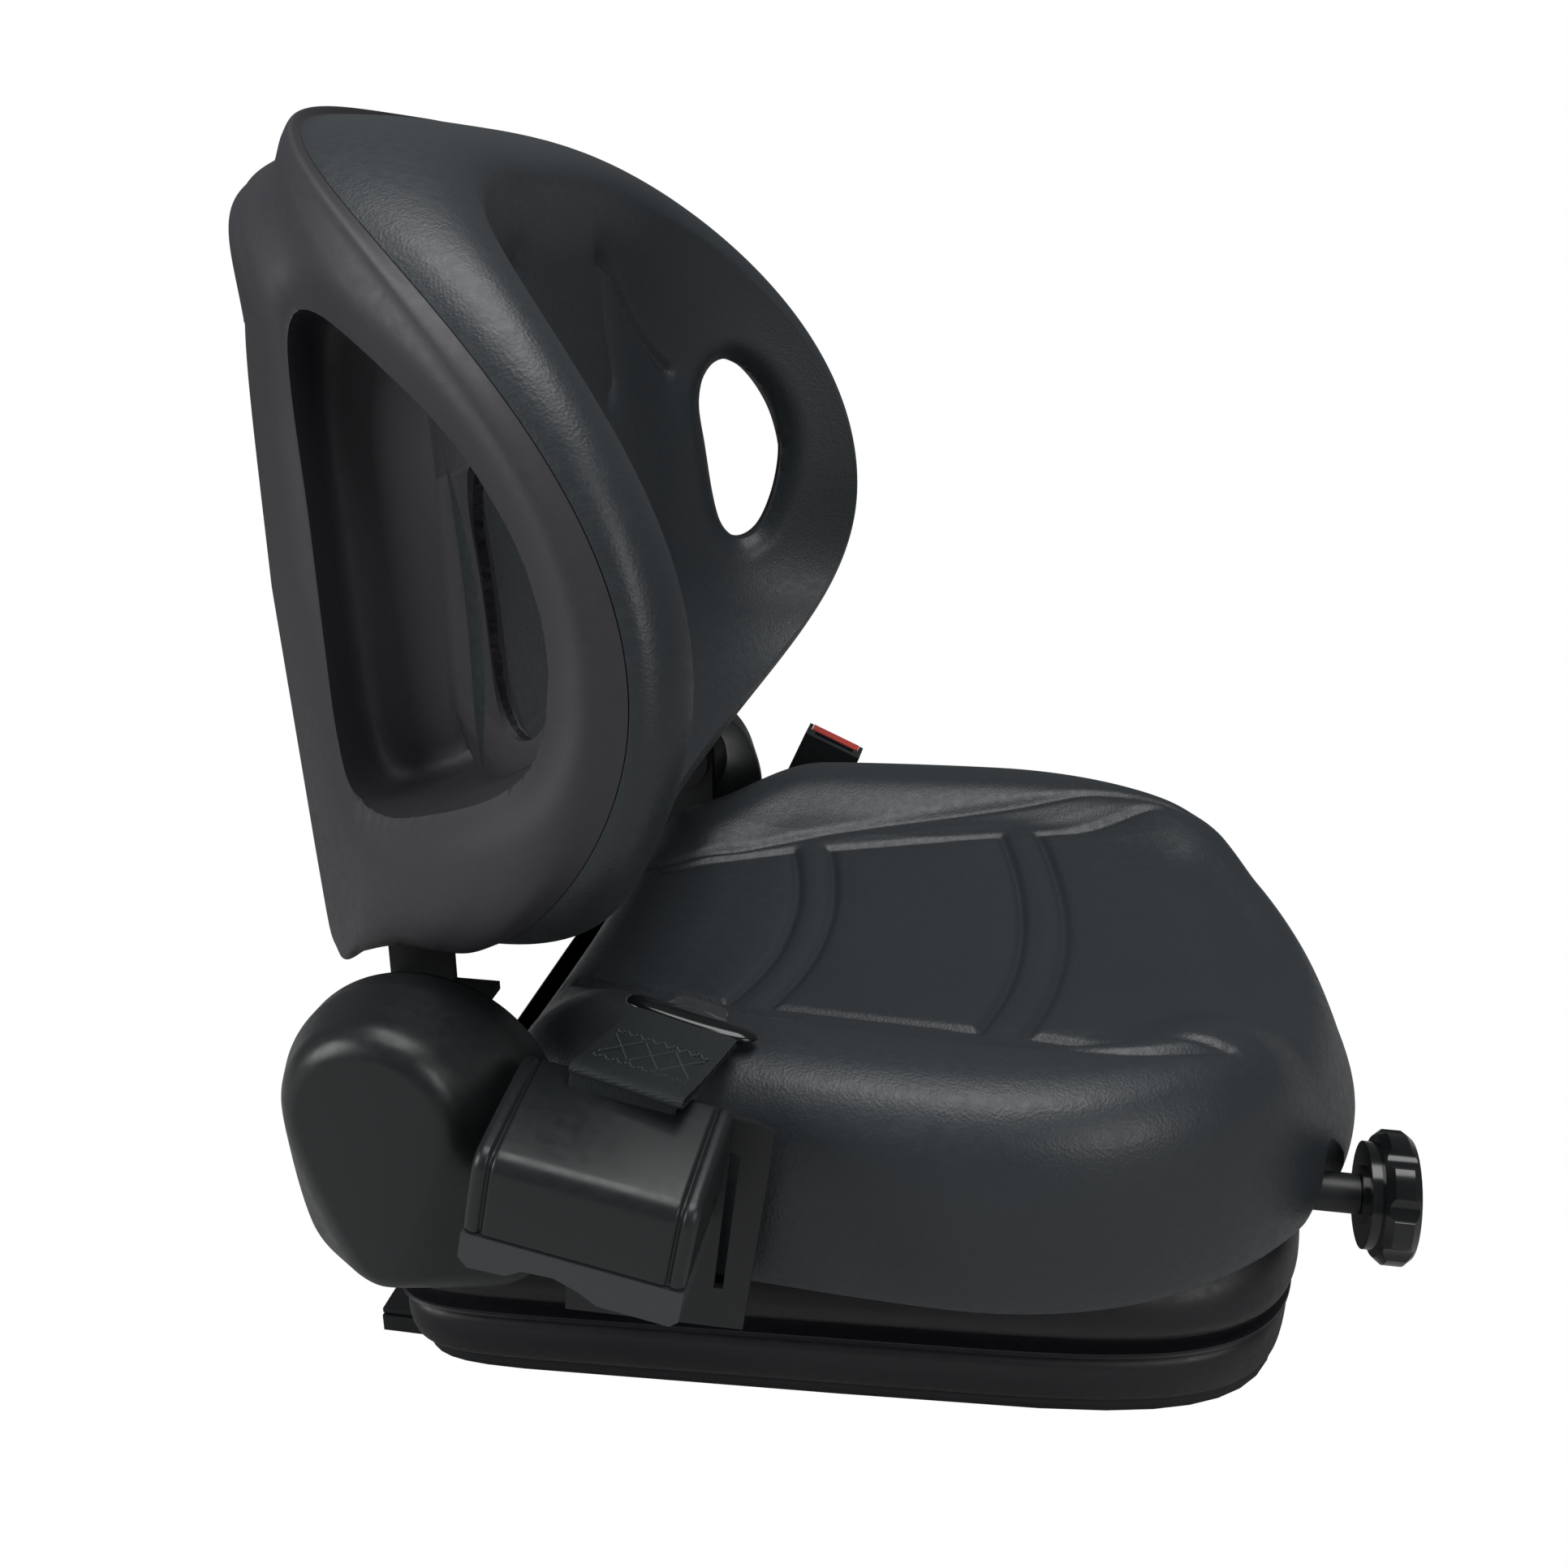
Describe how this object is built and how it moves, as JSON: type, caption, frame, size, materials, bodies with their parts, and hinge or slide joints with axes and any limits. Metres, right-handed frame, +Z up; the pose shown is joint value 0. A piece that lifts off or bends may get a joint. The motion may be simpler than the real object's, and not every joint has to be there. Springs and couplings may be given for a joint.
{
  "type": "forklift seat",
  "caption": "Suspension seat with a winged bucket backrest, moulded cushion, rubber bellows, belt retractor and buckle, on slide rails.",
  "frame": {"origin": "centre of the rectangle of mounting bolts, on the underside of the lower slide rails", "axes": "+X towards the front of the seat, +Y to the sitter's left, +Z up"},
  "size_m": [0.516, 0.5513, 0.5775],
  "materials": {
    "painted_steel": "satin",
    "zinc_steel": "satin",
    "chrome": "polished",
    "vinyl": "grained",
    "shell_plastic": "fine texture",
    "satin_plastic": "satin",
    "grey_plastic": "satin",
    "gloss_plastic": "gloss",
    "rubber": "satin",
    "acetal": "satin",
    "webbing": "woven",
    "button_red": "gloss"
  },
  "bodies": {
    "base": {"lower_rail_right": "painted_steel", "lower_rail_left": "painted_steel"},
    "carriage": {"upper_rail_right": "painted_steel", "upper_rail_left": "painted_steel", "suspension_base": "painted_steel", "lower_pivot_pins": "zinc_steel", "lever_pivot": "zinc_steel", "damper_tube": "gloss_plastic", "suspension_bellows": "rubber", "suspension_spring_right": "zinc_steel", "suspension_spring_left": "zinc_steel"},
    "latch": {"slide_lever": "painted_steel", "slide_lever_grip": "gloss_plastic"},
    "outer_arms": {"outer_scissor_arms": "painted_steel", "outer_arm_glides": "acetal", "centre_bolts": "zinc_steel"},
    "inner_arms": {"inner_scissor_arms": "painted_steel", "inner_arm_glides": "acetal"},
    "upper_frame": {"suspension_top_frame": "painted_steel", "upper_pivot_pins": "zinc_steel", "damper_rod": "zinc_steel", "cushion_pan": "painted_steel", "seat_cushion": "vinyl", "recliner_plate_right": "painted_steel", "recliner_plate_left": "painted_steel", "recliner_cover_right": "satin_plastic", "recliner_cover_left": "satin_plastic", "recliner_pins": "zinc_steel", "recliner_disc": "gloss_plastic", "retractor_bracket": "painted_steel", "retractor_frame": "zinc_steel", "retractor_cover": "satin_plastic", "retractor_skirt": "grey_plastic", "belt_webbing": "webbing", "belt_tongue": "chrome", "buckle_pivot": "zinc_steel"},
    "adjuster": {"adjuster_screw": "painted_steel", "adjuster_knob": "gloss_plastic"},
    "wedge": {"wedge_carriage": "acetal"},
    "preload": {"preload_plate": "zinc_steel"},
    "backrest": {"backrest_frame": "painted_steel", "backrest_pad": "vinyl", "back_shell": "shell_plastic", "document_pocket": "shell_plastic", "shell_screws": "zinc_steel"},
    "recline_handle": {"recline_lever": "painted_steel", "recline_lever_grip": "gloss_plastic"},
    "reel": {"retractor_spool": "webbing"},
    "buckle": {"buckle_stalk": "painted_steel", "buckle_body": "satin_plastic"},
    "buckle_press": {"buckle_button": "button_red"}
  },
  "joints": [
    {"name": "seat_slide", "type": "slide", "parent": "base", "child": "carriage", "axis": [1, 0, 0], "range_m": [-0.075, 0.075]},
    {"name": "latch_turn", "type": "hinge", "parent": "carriage", "child": "latch", "pos_m": [0.05, 0.089, 0.006], "axis": [0, 0, 1], "range_deg": [-6, 0]},
    {"name": "suspension_travel", "type": "slide", "parent": "carriage", "child": "upper_frame", "axis": [0, 0, 1], "range_m": [-0.025, 0.025], "deforming": ["suspension_bellows", "suspension_spring_right", "suspension_spring_left"]},
    {"name": "outer_arm_turn", "type": "hinge", "parent": "carriage", "child": "outer_arms", "pos_m": [-0.043, 0, 0.0242], "axis": [0, 1, 0], "range_deg": [-5.5, 5.5]},
    {"name": "inner_arm_turn", "type": "hinge", "parent": "upper_frame", "child": "inner_arms", "pos_m": [-0.043, 0, 0.0928], "axis": [0, 1, 0], "range_deg": [-5.5, 5.5]},
    {"name": "adjuster_turn", "type": "hinge", "parent": "upper_frame", "child": "adjuster", "pos_m": [0.307, -0.11, 0.1155], "axis": [1, 0, 0], "range_deg": [-1080, 1080]},
    {"name": "wedge_slide", "type": "slide", "parent": "upper_frame", "child": "wedge", "axis": [1, 0, 0], "range_m": [-0.006, 0.006]},
    {"name": "preload_lift", "type": "slide", "parent": "upper_frame", "child": "preload", "axis": [0, 0, 1], "range_m": [-0.0012, 0.0012]},
    {"name": "backrest_recline", "type": "hinge", "parent": "upper_frame", "child": "backrest", "pos_m": [-0.055, 0, 0.1935], "axis": [0, 1, 0], "range_deg": [-12, 5]},
    {"name": "recline_lever_turn", "type": "hinge", "parent": "upper_frame", "child": "recline_handle", "pos_m": [-0.055, 0.25, 0.1935], "axis": [0, 1, 0], "range_deg": [-16, 0]},
    {"name": "reel_turn", "type": "hinge", "parent": "upper_frame", "child": "reel", "pos_m": [0.0263, -0.264, 0.1859], "axis": [0.9816, 0, -0.1908], "range_deg": [-40, 40]},
    {"name": "buckle_turn", "type": "hinge", "parent": "upper_frame", "child": "buckle", "pos_m": [0.009, 0.24, 0.1205], "axis": [0, 1, 0], "range_deg": [-12, 10]},
    {"name": "buckle_press_slide", "type": "slide", "parent": "buckle", "child": "buckle_press", "axis": [-0.4067, 0, -0.9135], "range_m": [0, 0.003]}
  ],
  "couplings": [
    {"joint": "outer_arm_turn", "follows": "suspension_travel", "rad_per_m": -3.577},
    {"joint": "inner_arm_turn", "follows": "suspension_travel", "rad_per_m": 3.577},
    {"joint": "wedge_slide", "follows": "adjuster_turn", "m_per_rad": 0.000318},
    {"joint": "preload_lift", "follows": "adjuster_turn", "m_per_rad": 0.0000636}
  ]
}
